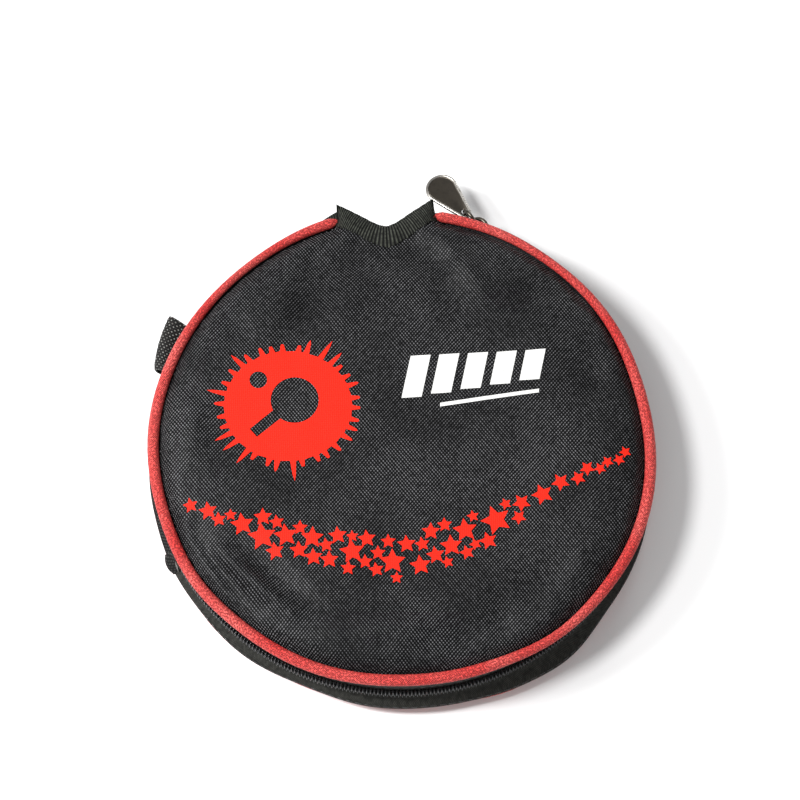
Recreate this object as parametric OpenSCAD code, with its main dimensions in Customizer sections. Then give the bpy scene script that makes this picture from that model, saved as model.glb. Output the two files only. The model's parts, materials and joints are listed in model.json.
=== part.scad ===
// Round half-cover case for a table tennis bat: two padded panels with piped rims, a zip that runs
// most of the way round, a V notch for the handle, and a webbing loop on the hinge side.
// Millimetres. Z = 0 is the back panel's outer face, +Z runs up through the front panel,
// +Y runs to the notch, and the case's centre is on the Z axis.

/* [Case] */
// Outer radius of the gusset wall
case_r = 88; // [80:0.5:95]
// Thickness from the back panel's face to the front panel's face
case_t = 32; // [20:0.2:40]
// Outer radius of both panels, which end against the piping
panel_r = 85.9; // [78:0.1:93]
// Thickness of the outer woven fabric
fabric_t = 0.7; // [0.4:0.1:1.2]
// Thickness of the foam padding
foam_t = 3; // [1:0.5:6]
// Thickness of the lining
lining_t = 0.5; // [0.3:0.1:1]

/* [Gusset] */
// Thickness of the gusset's wall and of the zip tapes
wall_t = 0.8; // [0.5:0.1:1.5]
// Distance from a panel's outer face to the gusset's edge
wall_inset = 5.35; // [4:0.05:8]
// Width of the binding that covers the seam inside
seam_w = 5.9; // [4:0.1:10]
// Thickness of the folded seam binding
seam_t = 1.6; // [1:0.1:3]

/* [Piping] */
// Radius of the ring that the piping's centre follows
piping_r = 88.2; // [80:0.1:96]
// Radius of the piping's outer cover
piping_cover_r = 2.25; // [1:0.05:4]
// Radius of the cord inside it
piping_core_r = 1.55; // [0.5:0.05:3]
// Depth of the piping's centre below the panel's face
piping_inset = 3; // [2:0.1:6]

/* [Notch] */
// Distance from the middle to each tip of the notch
notch_half = 17.7; // [12:0.1:25]
// Height of the tips, along Y
notch_tip_y = 93; // [85:0.1:98]
// Height of the V's lowest point, along Y
notch_low_y = 82.8; // [70:0.1:90]
// Width of the binding ribbon, along Y
ribbon_w = 8.2; // [4:0.1:14]
// Thickness of the binding ribbon
ribbon_t = 0.4; // [0.3:0.05:1]
// Angle of the notch's right tip round the case
notch_right_ang = 79; // [70:0.5:85]

/* [Zip] */
// Angle where the zip's closed end is, clockwise from +X as a negative number
zip_end_ang = -158; // [-175:0.5:-120]
// Angle where the top stops start, at the zip's open end
top_stop_ang = 73.4; // [70:0.1:76.5]
// Half of the gap between the two tapes
tape_gap = 0.55; // [0.3:0.05:1]
// Width of one row of coil
coil_w = 2.65; // [1.5:0.05:4]
// Height of the coil over the tape
coil_h = 1.95; // [1:0.05:3]
// Length of a stop along the zip, in degrees round the case
stop_ang = 1.3; // [0.8:0.1:2]

/* [Fold] */
// Direction of the hinge segment's middle, seen from above
fold_dir = 153.9; // [140:0.1:165]
// Distance of the fold line from the case's centre
fold_d = 53.5; // [50:0.1:70]
// Half of the gap along the fold line
fold_gap = 0.15; // [0.1:0.05:0.5]

/* [Slider] */
// Angle of the closed slider round the case
slider_ang = 68.5; // [60:0.1:69]
// Half of the slider's length, in degrees round the case
slider_half_ang = 4.14; // [3:0.01:6]
// Half of the slider's width
slider_half_w = 5; // [4:0.1:7]
// Clearance between the slider and the zip
slider_gap = 0.3; // [0.2:0.05:0.6]
// Thickness of the slider's outer and inner plates
slider_plate_t = 1.3; // [0.8:0.1:2]
// Radius of the crown's bend
crown_r = 3.2; // [2.5:0.1:4]
// Radius of the crown's wire
crown_wire_r = 0.8; // [0.5:0.05:1.2]

/* [Pull] */
// Direction the pull lies in, seen from above
pull_dir = 125; // [60:1:130]
// How far the tab droops below level
pull_droop = 10; // [0:1:40]
// Radius of the link's bend
link_r = 3.2; // [2.5:0.1:4]
// Radius of the link's wire
link_wire_r = 0.7; // [0.4:0.05:1]
// Distance from the crown's centre to the link's centre
link_reach = 4.6; // [4:0.1:6]
// Radius of the tab's round end
tab_end_r = 6; // [4:0.1:8]
// Radius of the tab's narrow end
tab_root_r = 2.5; // [2:0.1:4]
// Radius of the hole in the tab's narrow end
tab_hole_r = 1.4; // [1:0.05:2]
// Distance between the middles of the tab's two ends
tab_len = 13.5; // [7:0.1:20]
// Thickness of the tab's rim
tab_t = 1.5; // [1:0.1:3]
// Depth of the recess in each face of the tab
tab_recess = 0.35; // [0.1:0.05:0.6]
// Width of the tab's rim
tab_rim = 0.9; // [0.5:0.1:2]

/* [Hang loop] */
// Angle of the loop round the case
loop_ang = 150; // [130:1:170]
// Width of the webbing
loop_w = 20; // [10:1:30]
// Distance from the case's centre to the loop's outer edge
loop_out = 97.5; // [94:0.1:110]
// Radius of the stitched bead at the loop's root
loop_root_r = 1.3; // [0.8:0.1:2]
// Radius of the loop's outer bend
loop_bend_r = 2.8; // [2:0.1:5]
// Thickness of the webbing
webbing_t = 1.2; // [0.8:0.1:2]

/* [Hidden] */
$fn = 96;
mid_z = case_t / 2;
shell_t = fabric_t + foam_t + lining_t;
wall_in_r = case_r - wall_t;
notch_left_ang = 180 - notch_right_ang;
notch_rise = (notch_tip_y - notch_low_y) / notch_half;
// the zip's closed end, counted the other way round
hinge_end_ang = 360 + zip_end_ang;
coil_out_r = case_r + 0.05 + coil_h;
slider_out_r = coil_out_r + slider_gap + slider_plate_t;

BLACK = [0.12, 0.12, 0.13];
LINING = [0.2, 0.2, 0.22];
FOAM = [0.85, 0.84, 0.8];
RED = [0.86, 0.22, 0.22];
METAL = [0.55, 0.55, 0.57];

// ---- helpers ----

// a flat profile, drawn as radius across and height up, swept from one angle to another
module sweep(from, to) {
  rotate([0, 0, from]) rotate_extrude(angle = to - from) children();
}

// a rectangle in a profile, given by its lowest and highest radius and height
module band(r0, r1, z0, z1) {
  translate([r0, z0]) square([r1 - r0, z1 - z0]);
}

// the straight-sided middle of a teardrop, from a circle at x1 to a circle at x2
module taper_middle(x1, r1, x2, r2) {
  lean = asin((r2 - r1) / (x2 - x1));
  s1 = 0.99 * r1;
  s2 = 0.99 * r2;
  polygon([
    [x1 - s1 * sin(lean), s1 * cos(lean)], [x2 - s2 * sin(lean), s2 * cos(lean)],
    [x2 - s2 * sin(lean), -s2 * cos(lean)], [x1 - s1 * sin(lean), -s1 * cos(lean)]
  ]);
}

// a teardrop plate lying along X, centred on Z = 0
module taper_plate(h, x1, r1, x2, r2) {
  translate([x1, 0, -h / 2]) cylinder(h = h, r = r1);
  translate([x2, 0, -h / 2]) cylinder(h = h, r = r2);
  translate([0, 0, -h / 2]) linear_extrude(h) taper_middle(x1, r1, x2, r2);
}

// a teardrop profile swept round the case at one height
module taper_sweep(from, to, z, x1, r1, x2, r2) {
  sweep(from, to) translate([x1, z]) circle(r1);
  sweep(from, to) translate([x2, z]) circle(r2);
  sweep(from, to) translate([0, z]) taper_middle(x1, r1, x2, r2);
}

// the half of space on the opening side of the fold line
module flap_half() {
  rotate([0, 0, fold_dir]) translate([-200, -200, -50]) cube([200 + fold_d - fold_gap, 400, 150]);
}

// the half of space on the hinge side of the fold line
module hinge_half() {
  rotate([0, 0, fold_dir]) translate([fold_d + fold_gap, -200, -50]) cube([200, 400, 150]);
}

// what lies past the fold line at its lower end, where the hinge piping stops
module beyond_lower_fold() {
  rotate([0, 0, fold_dir]) translate([-200, 0, -50]) cube([200 + fold_d + fold_gap, 200, 150]);
}

// a panel's outline: a disc that keeps two ears beside the V of the notch
module panel_outline() {
  ear = notch_half - 0.3;
  low = notch_low_y - 0.65;
  difference() {
    circle(panel_r + 15);
    difference() {
      circle(panel_r + 20);
      circle(panel_r);
      translate([-ear, 0]) square([2 * ear, 200]);
    }
    polygon([
      [-notch_half, low + notch_rise * notch_half], [0, low],
      [notch_half, low + notch_rise * notch_half], [notch_half, 200], [-notch_half, 200]
    ]);
  }
}

// the V-shaped strip that the binding ribbon covers
module ribbon_outline() {
  polygon([
    [-notch_half, notch_tip_y - ribbon_w], [-notch_half, notch_tip_y], [0, notch_low_y],
    [notch_half, notch_tip_y], [notch_half, notch_tip_y - ribbon_w], [0, notch_low_y - ribbon_w]
  ]);
}

// the part of the strip that wraps over the panel's raw edge
module ribbon_edge() {
  polygon([
    [-notch_half, notch_tip_y - 0.6], [-notch_half, notch_tip_y], [0, notch_low_y],
    [notch_half, notch_tip_y], [notch_half, notch_tip_y - 0.6], [0, notch_low_y - 0.6]
  ]);
}

// a layer of a panel, from one height to another
module layer(z0, z1) {
  translate([0, 0, z0]) linear_extrude(z1 - z0) children();
}

// the part of a front outline on the flap
module on_flap() {
  intersection() {
    children();
    rotate(fold_dir) translate([-200, -200]) square([200 + fold_d - fold_gap, 400]);
  }
}

// the front outline's part on the hinge segment: the disc beyond the fold line
module hinge_outline() {
  intersection() {
    circle(panel_r);
    rotate(fold_dir) translate([fold_d + fold_gap, -200]) square([200, 400]);
  }
}

// piping's profile: the cover is a tube, the core is a cord
module piping_profile(z, outer, inner) {
  translate([piping_r, z]) difference() {
    circle(outer);
    if (inner > 0) circle(inner);
  }
}

// ---- back panel and its rim ----

module back_panel() {
  color(BLACK) layer(0, fabric_t) difference() {
    panel_outline();
    ribbon_outline();
  }
}

module back_foam() {
  color(FOAM) layer(fabric_t, fabric_t + foam_t) panel_outline();
}

module back_lining() {
  color(LINING) layer(fabric_t + foam_t, shell_t) panel_outline();
}

// folded ribbon: a face outside, a face inside and the fold over the edge
module back_notch_binding() {
  color(BLACK) {
    layer(0, fabric_t) ribbon_outline();
    layer(shell_t, shell_t + ribbon_t) ribbon_outline();
    layer(0, shell_t + ribbon_t) ribbon_edge();
  }
}

module back_piping_cover() {
  color(RED) sweep(notch_left_ang + 1.1, 360 + notch_right_ang - 1.1)
    piping_profile(piping_inset, piping_cover_r, piping_core_r + 0.05);
}

module back_piping_core() {
  color(FOAM) sweep(notch_left_ang + 1.1, 360 + notch_right_ang - 1.1)
    piping_profile(piping_inset, piping_core_r, 0);
}

module back_seam_binding() {
  color(LINING) sweep(notch_left_ang + 2.2, 360 + notch_right_ang - 2.2)
    band(panel_r + 0.2 - seam_w, panel_r + 0.2, shell_t + 0.05, shell_t + 0.05 + seam_t);
}

// ---- zip, back half ----

module back_zip_tape() {
  color(BLACK) sweep(zip_end_ang + 0.2, notch_right_ang)
    band(wall_in_r, case_r, wall_inset, mid_z - tape_gap);
}

module back_zip_coil() {
  color(BLACK) sweep(zip_end_ang + 2, top_stop_ang - 0.1)
    band(case_r + 0.05, coil_out_r, mid_z - tape_gap - coil_w, mid_z - tape_gap);
}

module back_top_stop() {
  color(METAL) sweep(top_stop_ang, top_stop_ang + stop_ang)
    band(case_r + 0.05, coil_out_r + 0.3, mid_z - tape_gap - coil_w - 0.2, mid_z - tape_gap);
}

// a clip hooked under the back row, with a plate over both rows
module zip_bottom_stop() {
  color(METAL) sweep(zip_end_ang + 1.6, zip_end_ang + 1.6 + stop_ang) {
    band(coil_out_r + 0.1, coil_out_r + 0.6, mid_z - 3.9, mid_z + 3.5);
    band(case_r + 0.1, coil_out_r + 0.6, mid_z - 3.9, mid_z - 3.35);
  }
}

// a folded patch of fabric over the zip's closed end
module zip_end_tab() {
  color(BLACK) sweep(hinge_end_ang - 2.8, hinge_end_ang + 0.6)
    band(case_r + 0.1, case_r + 3.4, mid_z - 6.2, mid_z + 6);
}

// ---- plain gusset on the hinge side ----

module hinge_gusset() {
  color(BLACK) sweep(notch_left_ang + 0.2, hinge_end_ang - 0.9)
    band(wall_in_r, case_r, wall_inset, case_t - wall_inset);
}

module hinge_gusset_lining() {
  color(LINING) sweep(notch_left_ang + 0.4, hinge_end_ang - 1.2)
    band(wall_in_r - 0.6, wall_in_r - 0.1, wall_inset + 0.25, case_t - wall_inset - 0.25);
}

// ribbon folded over the gusset's raw end at the notch
module gusset_end_binding() {
  color(BLACK) {
    sweep(notch_left_ang - 0.4, notch_left_ang + 0.1)
      band(wall_in_r - 1, case_r + 0.5, wall_inset + 0.1, case_t - wall_inset - 0.1);
    sweep(notch_left_ang - 0.4, notch_left_ang + 3.4) {
      band(case_r + 0.1, case_r + 0.5, wall_inset + 0.1, case_t - wall_inset - 0.1);
      band(wall_in_r - 1, wall_in_r - 0.7, wall_inset + 0.1, case_t - wall_inset - 0.1);
    }
  }
}

// ---- front panel's segment on the hinge side ----

module hinge_panel() {
  color(BLACK) layer(case_t - fabric_t, case_t) hinge_outline();
}

module hinge_foam() {
  color(FOAM) layer(case_t - fabric_t - foam_t, case_t - fabric_t) hinge_outline();
}

module hinge_lining() {
  color(LINING) layer(case_t - shell_t, case_t - fabric_t - foam_t) hinge_outline();
}

module hinge_piping_cover() {
  color(RED) difference() {
    sweep(notch_left_ang + 1.1, hinge_end_ang + 8)
      piping_profile(case_t - piping_inset, piping_cover_r, piping_core_r + 0.05);
    beyond_lower_fold();
  }
}

module hinge_piping_core() {
  color(FOAM) difference() {
    sweep(notch_left_ang + 1.1, hinge_end_ang + 8)
      piping_profile(case_t - piping_inset, piping_core_r, 0);
    beyond_lower_fold();
  }
}

module hinge_seam_binding() {
  color(LINING) intersection() {
    sweep(notch_left_ang + 2.2, hinge_end_ang + 6)
      band(panel_r + 0.2 - seam_w, panel_r + 0.2,
           case_t - shell_t - 0.05 - seam_t, case_t - shell_t - 0.05);
    hinge_half();
  }
}

// the end of the front tape, which stays with the hinge segment
module hinge_zip_tape() {
  color(BLACK) intersection() {
    sweep(hinge_end_ang, hinge_end_ang + 8)
      band(wall_in_r, case_r, mid_z + tape_gap, case_t - wall_inset);
    hinge_half();
  }
}

// ---- flap: the front panel and its rim ----

module front_panel() {
  color(BLACK) layer(case_t - fabric_t, case_t) on_flap() panel_outline();
}

module front_foam() {
  color(FOAM) layer(case_t - fabric_t - foam_t, case_t - fabric_t) on_flap() panel_outline();
}

module front_lining() {
  color(LINING) layer(case_t - shell_t, case_t - fabric_t - foam_t) on_flap() panel_outline();
}

module front_notch_binding() {
  color(BLACK) {
    layer(case_t, case_t + ribbon_t) on_flap() ribbon_outline();
    layer(case_t - shell_t - ribbon_t, case_t - shell_t) on_flap() ribbon_outline();
    layer(case_t - shell_t - ribbon_t, case_t + ribbon_t) on_flap() ribbon_edge();
  }
}

module front_piping_cover() {
  color(RED) intersection() {
    sweep(zip_end_ang - 4, notch_right_ang - 1.1)
      piping_profile(case_t - piping_inset, piping_cover_r, piping_core_r + 0.05);
    flap_half();
  }
}

module front_piping_core() {
  color(FOAM) intersection() {
    sweep(zip_end_ang - 4, notch_right_ang - 1.1)
      piping_profile(case_t - piping_inset, piping_core_r, 0);
    flap_half();
  }
}

module front_seam_binding() {
  color(LINING) intersection() {
    sweep(zip_end_ang - 6, notch_right_ang - 2.2)
      band(panel_r + 0.2 - seam_w, panel_r + 0.2,
           case_t - shell_t - 0.05 - seam_t, case_t - shell_t - 0.05);
    flap_half();
  }
}

// ---- zip, front half ----

module front_zip_tape() {
  color(BLACK) intersection() {
    sweep(zip_end_ang - 1, notch_right_ang)
      band(wall_in_r, case_r, mid_z + tape_gap, case_t - wall_inset);
    flap_half();
  }
}

module front_zip_coil() {
  color(BLACK) intersection() {
    sweep(zip_end_ang + 2, top_stop_ang - 0.1)
      band(case_r + 0.05, coil_out_r, mid_z + tape_gap, mid_z + tape_gap + coil_w);
    flap_half();
  }
}

module front_top_stop() {
  color(METAL) sweep(top_stop_ang, top_stop_ang + stop_ang)
    band(case_r + 0.05, coil_out_r + 0.3, mid_z + tape_gap, mid_z + tape_gap + coil_w + 0.2);
}

// ---- slider and pull ----

// two plates joined by a neck between the tapes, flanges beside the coil, and the crown
module slider_body() {
  neck_half_ang = 1.1;
  color(METAL) {
    sweep(slider_ang - slider_half_ang, slider_ang + slider_half_ang) {
      band(coil_out_r + slider_gap, slider_out_r, mid_z - slider_half_w, mid_z + slider_half_w);
      band(wall_in_r - slider_gap - slider_plate_t, wall_in_r - slider_gap,
           mid_z - slider_half_w, mid_z + slider_half_w);
      for (side = [-1, 1])
        translate([0, mid_z + side * (slider_half_w - 0.45)])
          band(case_r + slider_gap, coil_out_r + slider_gap + 0.1, -0.45, 0.45);
    }
    sweep(slider_ang - neck_half_ang, slider_ang + neck_half_ang)
      band(wall_in_r - slider_gap - 0.1, coil_out_r + slider_gap + 0.1, mid_z - 0.2, mid_z + 0.2);
    at_crown() sweep(-110, 110) translate([crown_r, 0]) circle(crown_wire_r);
  }
}

// the crown's centre, with X pointing straight out from the case
module at_crown() {
  rotate([0, 0, slider_ang]) translate([slider_out_r + 0.6, 0, mid_z]) children();
}

// the crown's centre, with X pointing along the pull
module along_pull() {
  at_crown() rotate([0, 0, pull_dir - slider_ang]) children();
}

module pull_link() {
  color(METAL) along_pull() translate([link_reach, 0, 0]) rotate([90, 0, 0])
    rotate_extrude() translate([link_r, 0]) circle(link_wire_r);
}

// a teardrop plate with a raised rim, drooping about the link's centre
module pull_tab() {
  far = link_r + tab_len;
  recess_z = tab_t / 2 - tab_recess + 1;
  color(METAL) along_pull() translate([link_reach, 0, 0]) rotate([0, pull_droop, 0]) difference() {
    union() taper_plate(tab_t, link_r, tab_root_r, far, tab_end_r);
    translate([link_r, 0, -tab_t]) cylinder(h = 2 * tab_t, r = tab_hole_r);
    for (side = [-1, 1])
      translate([0, 0, side * recess_z])
        taper_plate(2, link_r + 3.4, tab_root_r - tab_rim + 0.6, far, tab_end_r - tab_rim);
  }
}

// ---- hang loop ----

// webbing folded into a loop, pinched at its stitched root
module hang_loop() {
  half_ang = asin(loop_w / 2 / case_r);
  root_x = case_r + 0.1 + loop_root_r;
  bend_x = loop_out - loop_bend_r;
  color(BLACK) difference() {
    union() taper_sweep(loop_ang - half_ang, loop_ang + half_ang, mid_z,
                        root_x, loop_root_r, bend_x, loop_bend_r);
    taper_sweep(loop_ang - half_ang - 1, loop_ang + half_ang + 1, mid_z,
                root_x + 1.9, 0.25, bend_x, loop_bend_r - webbing_t);
  }
}

back_panel();
back_foam();
back_lining();
back_notch_binding();
back_piping_cover();
back_piping_core();
back_seam_binding();
back_zip_tape();
back_zip_coil();
back_top_stop();
zip_bottom_stop();
zip_end_tab();
hinge_gusset();
hinge_gusset_lining();
gusset_end_binding();
hinge_panel();
hinge_foam();
hinge_lining();
hinge_piping_cover();
hinge_piping_core();
hinge_seam_binding();
hinge_zip_tape();
front_panel();
front_foam();
front_lining();
front_notch_binding();
front_piping_cover();
front_piping_core();
front_seam_binding();
front_zip_tape();
front_zip_coil();
front_top_stop();
slider_body();
pull_link();
pull_tab();
hang_loop();
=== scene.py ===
"""Looks for a round table tennis bat case: padded panels with piped rims, a coil zip, a bound V notch,
a webbing hang loop and a zip pull. Sizes are in millimetres here and become metres in each mesh."""

import json
import math

import bmesh
import bpy
import numpy as np
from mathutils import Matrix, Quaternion, Vector, geometry
from mathutils.bvhtree import BVHTree


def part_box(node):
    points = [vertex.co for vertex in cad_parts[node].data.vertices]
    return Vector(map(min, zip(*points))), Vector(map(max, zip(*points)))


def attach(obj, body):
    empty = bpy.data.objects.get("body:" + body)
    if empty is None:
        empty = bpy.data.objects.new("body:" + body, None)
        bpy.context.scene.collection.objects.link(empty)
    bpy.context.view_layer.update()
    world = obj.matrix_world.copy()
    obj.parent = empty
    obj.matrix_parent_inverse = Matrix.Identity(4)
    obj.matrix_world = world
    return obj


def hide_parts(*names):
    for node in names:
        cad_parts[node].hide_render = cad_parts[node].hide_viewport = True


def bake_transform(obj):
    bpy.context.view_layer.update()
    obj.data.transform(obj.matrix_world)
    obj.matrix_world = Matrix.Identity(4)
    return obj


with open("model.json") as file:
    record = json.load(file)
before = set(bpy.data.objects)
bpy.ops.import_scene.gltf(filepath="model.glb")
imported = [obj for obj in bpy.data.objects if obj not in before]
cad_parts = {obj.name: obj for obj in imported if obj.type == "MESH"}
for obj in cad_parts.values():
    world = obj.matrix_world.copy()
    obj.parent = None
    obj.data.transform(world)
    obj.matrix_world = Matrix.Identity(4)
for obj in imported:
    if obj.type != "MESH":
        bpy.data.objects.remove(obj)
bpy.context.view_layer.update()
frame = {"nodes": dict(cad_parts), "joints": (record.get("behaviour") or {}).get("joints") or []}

MM = 0.001


# ---- sizes, read from the frame ----

def box_mm(node):
    """A CAD node's lowest and highest corners, in millimetres."""
    low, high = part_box(node)
    return np.array(low) / MM, np.array(high) / MM


def joint(name):
    """A joint's place in millimetres and its axis."""
    row = next(j for j in frame["joints"] if j["name"] == name)
    return np.array(row["pos_m"]) / MM, np.array(row["axis"])


TOP = box_mm("front_panel")[1][2]
MID = TOP / 2
PANEL_R = box_mm("back_panel")[1][0]
CASE_R = box_mm("back_zip_tape")[1][0]
PIPING_LOW, PIPING_HIGH = box_mm("back_piping_cover")
PIPING_COVER_R = (PIPING_HIGH[2] - PIPING_LOW[2]) / 2
PIPING_R = PIPING_HIGH[0] - PIPING_COVER_R
PIPING_INSET = (PIPING_HIGH[2] + PIPING_LOW[2]) / 2
SHELL_T = box_mm("back_lining")[1][2]
WALL_INSET = box_mm("back_zip_tape")[0][2]
TAPE_GAP = MID - box_mm("back_zip_tape")[1][2]
COIL_OUT_R = box_mm("back_zip_coil")[1][0]
NOTCH_HALF, NOTCH_TIP_Y = box_mm("front_notch_binding")[1][:2]

# the notch
NOTCH_LOW_Y = 82.9
NOTCH_ROUND = 2.5
RIBBON_W = 7.7
NOTCH_RIGHT = 79
NOTCH_LEFT = 180 - NOTCH_RIGHT

# the zip runs from its closed end round to the notch, in degrees round the case
ZIP_END = -158
TOP_STOP = 73.4
# the stitches start past the slider's place at the closed end
SEWN_FROM = ZIP_END + 14
HINGE_END = 360 + ZIP_END

# the fold line: a point's distance past it, towards the opening, is FOLD_D - p.n
fold_at, fold_axis = joint("flap_fold")
FOLD_N = np.array([fold_axis[1], -fold_axis[0], 0])
FOLD_N *= np.sign(FOLD_N @ fold_at)
FOLD_D = float(FOLD_N @ fold_at)
BEND_FROM, BEND_TO = -1.5, 8.0


# ---- meshes ----

def polar(radius, angle, z):
    """The point at an angle round the case, in degrees."""
    a = np.radians(angle)
    return np.stack(np.broadcast_arrays(radius * np.cos(a), radius * np.sin(a), z), -1)


def smooth(t):
    """From 0 to 1 and level at both ends."""
    t = np.clip(t, 0, 1)
    return t * t * (3 - 2 * t)


def make(name, points, faces, corners, material, sharp):
    """A mesh object from points in millimetres. corners holds (u, v) in millimetres for each face corner."""
    mesh = bpy.data.meshes.new(name)
    mesh.from_pydata((np.asarray(points) * MM).tolist(), [], [list(map(int, f)) for f in faces])
    layer = mesh.uv_layers.new(name="Cloth")
    layer.data.foreach_set("uv", np.asarray(corners, np.float32).ravel())
    made = bmesh.new()
    made.from_mesh(mesh)
    bmesh.ops.recalc_face_normals(made, faces=made.faces)
    made.to_mesh(mesh)
    made.free()
    mesh.shade_smooth()
    mesh.set_sharp_from_angle(angle=math.radians(sharp))
    obj = bpy.data.objects.new(name, mesh)
    bpy.context.scene.collection.objects.link(obj)
    for m in material if isinstance(material, (list, tuple)) else [material]:
        mesh.materials.append(m)
    return obj


def tube_faces(rows, columns, closed=False):
    """Side faces for rows of closed rings, and the row and column of each of their corners."""
    i, j = np.meshgrid(np.arange(rows if closed else rows - 1), np.arange(columns), indexing="ij")
    a, b = (i + 1) % rows, (j + 1) % columns
    quads = np.stack([i * columns + j, i * columns + b, a * columns + b, a * columns + j], -1)
    grid = np.stack([
        np.stack([i, j], -1), np.stack([i, j + 1], -1), np.stack([i + 1, j + 1], -1), np.stack([i + 1, j], -1)
    ], -2)
    return quads.reshape(-1, 4), grid.reshape(-1, 4, 2)


def tube(name, rings, along, around, material, sharp, closed=False):
    """A mesh through closed rings of points, capped at its ends unless closed. along has a length for each
    ring, and around one for each point and one more for the way back."""
    rings = np.asarray(rings, float)
    rows, columns = rings.shape[:2]
    quads, grid = tube_faces(rows, columns, closed=closed)
    along, around = np.asarray(along, float), np.asarray(around, float)
    corners = np.stack([along[grid[..., 0]], around[grid[..., 1]]], -1).reshape(-1, 2)
    faces = [list(f) for f in quads]
    corners = corners.tolist()
    if not closed:
        for row, order in ((0, 1), (rows - 1, -1)):
            cap = list(range(row * columns, (row + 1) * columns))[::order]
            faces.append(cap)
            corners += [[along[row], around[k % columns]] for k in cap]
    return make(name, rings.reshape(-1, 3), faces, corners, material, sharp)


def lengths(points, close=False):
    """Distance along a line of points, with one more for the way back to the start if it closes."""
    points = np.asarray(points, float)
    if close:
        points = np.vstack([points, points[:1]])
    return np.concatenate([[0], np.cumsum(np.linalg.norm(np.diff(points, axis=0), axis=1))])


def round_band(r0, r1, z0, z1, corner, steps, divisions):
    """A rounded rectangle in a profile of radius and height, with its long sides divided."""
    centres = [(r1 - corner, z1 - corner, 0), (r0 + corner, z1 - corner, 90),
               (r0 + corner, z0 + corner, 180), (r1 - corner, z0 + corner, 270)]
    out = []
    for r, z, turn in centres:
        for k in range(steps + 1):
            a = math.radians(turn + 90 * k / steps)
            out.append((r + corner * math.cos(a), z + corner * math.sin(a)))
    full = []
    for k, p in enumerate(out):
        q = out[(k + 1) % len(out)]
        full.append(p)
        if math.dist(p, q) > 2 * corner:
            full += [(p[0] + (q[0] - p[0]) * t / divisions, p[1] + (q[1] - p[1]) * t / divisions)
                     for t in range(1, divisions)]
    return np.array(full)


WAVE_COUNT = 7


def waves(angle, seed, size, low=3, high=17):
    """A gentle, repeatable unevenness round the case."""
    rng = np.random.default_rng(seed)
    out = np.zeros_like(np.asarray(angle, float))
    for _ in range(WAVE_COUNT):
        out = out + rng.normal() * np.sin(np.radians(angle) * rng.integers(low, high) + rng.uniform(0, 6.28))
    return size * out / math.sqrt(WAVE_COUNT)


# the soft case is a little out of round: angle and width in degrees, and amount in millimetres, of each
# swelling of its rims
FRONT_OUT = [(330, 25, 2.0), (303, 12, 1.1), (212, 12, 0.9), (243, 12, 0.5), (175, 14, 0.45), (270, 9, -0.35),
             (50, 22, -0.7), (128, 20, -0.9), (12, 14, -0.6)]
BACK_OUT = [(273, 24, 0.9), (303, 15, 3.1), (243, 11, -0.5), (221, 10, 0.9), (290, 7, 0.8), (324, 8, 0.8)]
# the piping's cord is thinner in places: angle, width in degrees and share
CORD_THIN = [(48, 26, -0.24), (128, 20, -0.3), (303, 14, -0.2)]


def swelling(places, angle):
    """The sum of some smooth swellings at an angle round the case."""
    out = np.zeros_like(np.asarray(angle, float))
    for centre, width, amount in places:
        gap = (np.asarray(angle, float) - centre + 180) % 360 - 180
        out = out + amount * np.exp(-(gap / width) ** 2)
    return out


# the wall's bulges: how far out, at what height and how widely spread
LOW_BULGE = (3.2, 6.6, 2.3)
HIGH_BULGE = (0.6, 24, 3)
NOTCH_FADE = 14


def out_of_round(z, angle):
    """How far the wall follows the front rim above the zip and the back rim below it. The zip stays round."""
    up = smooth((np.asarray(z, float) - 21) / 6)
    down = smooth((12.5 - np.asarray(z, float)) / 6)
    return swelling(FRONT_OUT, angle) * up + swelling(BACK_OUT, angle) * down


def wall_bulge(z, angle):
    """How far the soft wall stands out: it slumps over the back piping, but not beside the notch."""
    z, angle = np.broadcast_arrays(np.asarray(z, float), np.asarray(angle, float))
    low, high = (out * np.exp(-((z - at) / spread) ** 2) for out, at, spread in (LOW_BULGE, HIGH_BULGE))
    fade = smooth((np.abs(angle - 90) - (90 - NOTCH_RIGHT)) / NOTCH_FADE)
    return (low + high) * fade * (1 + waves(angle, 77, 0.1)) + out_of_round(z, angle)


def swept(name, profile, angles, material, reference, shift=(0, 0), bulge=1.0, rim=0.0):
    """A profile of radius and height carried round the case. Its cloth has its true length at the radius
    reference. shift moves it in radius and height at each angle, and bulge says how much of the wall's bulge,
    past rim, each of its points follows."""
    profile = np.asarray(profile, float)
    angles = np.asarray(angles, float)
    shift = np.broadcast_to(np.asarray(shift, float), (len(angles), 2))
    stand_out = bulge * (wall_bulge(profile[None, :, 1], angles[:, None]) - rim)
    radius = profile[None, :, 0] + shift[:, :1] + stand_out
    height = profile[None, :, 1] + shift[:, 1:]
    rings = polar(radius, angles[:, None], height)
    return tube(name, rings, np.radians(angles) * reference, lengths(profile, close=True), material, 35)


# the bend of a piece on the side wall starts this far below the top, and runs this far in and up
WALL_DEPTH = 5.3
WALL_BEND = (5.8, 4.6)


def bend_with_flap(obj, depth=None):
    """Bakes obj's transform into its mesh. A bend from the back to the flap over the fold line, slanted by
    depth for a side wall, is worked out but not applied.
    """
    base = FOLD_N * FOLD_D
    start, end = base - FOLD_N * BEND_FROM, base - FOLD_N * BEND_TO
    start[2] = end[2] = TOP
    if depth:
        start[2] = TOP - depth
        end = start - FOLD_N * WALL_BEND[0]
        end[2] = start[2] + WALL_BEND[1]
    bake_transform(obj)


# ---- materials ----

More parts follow.
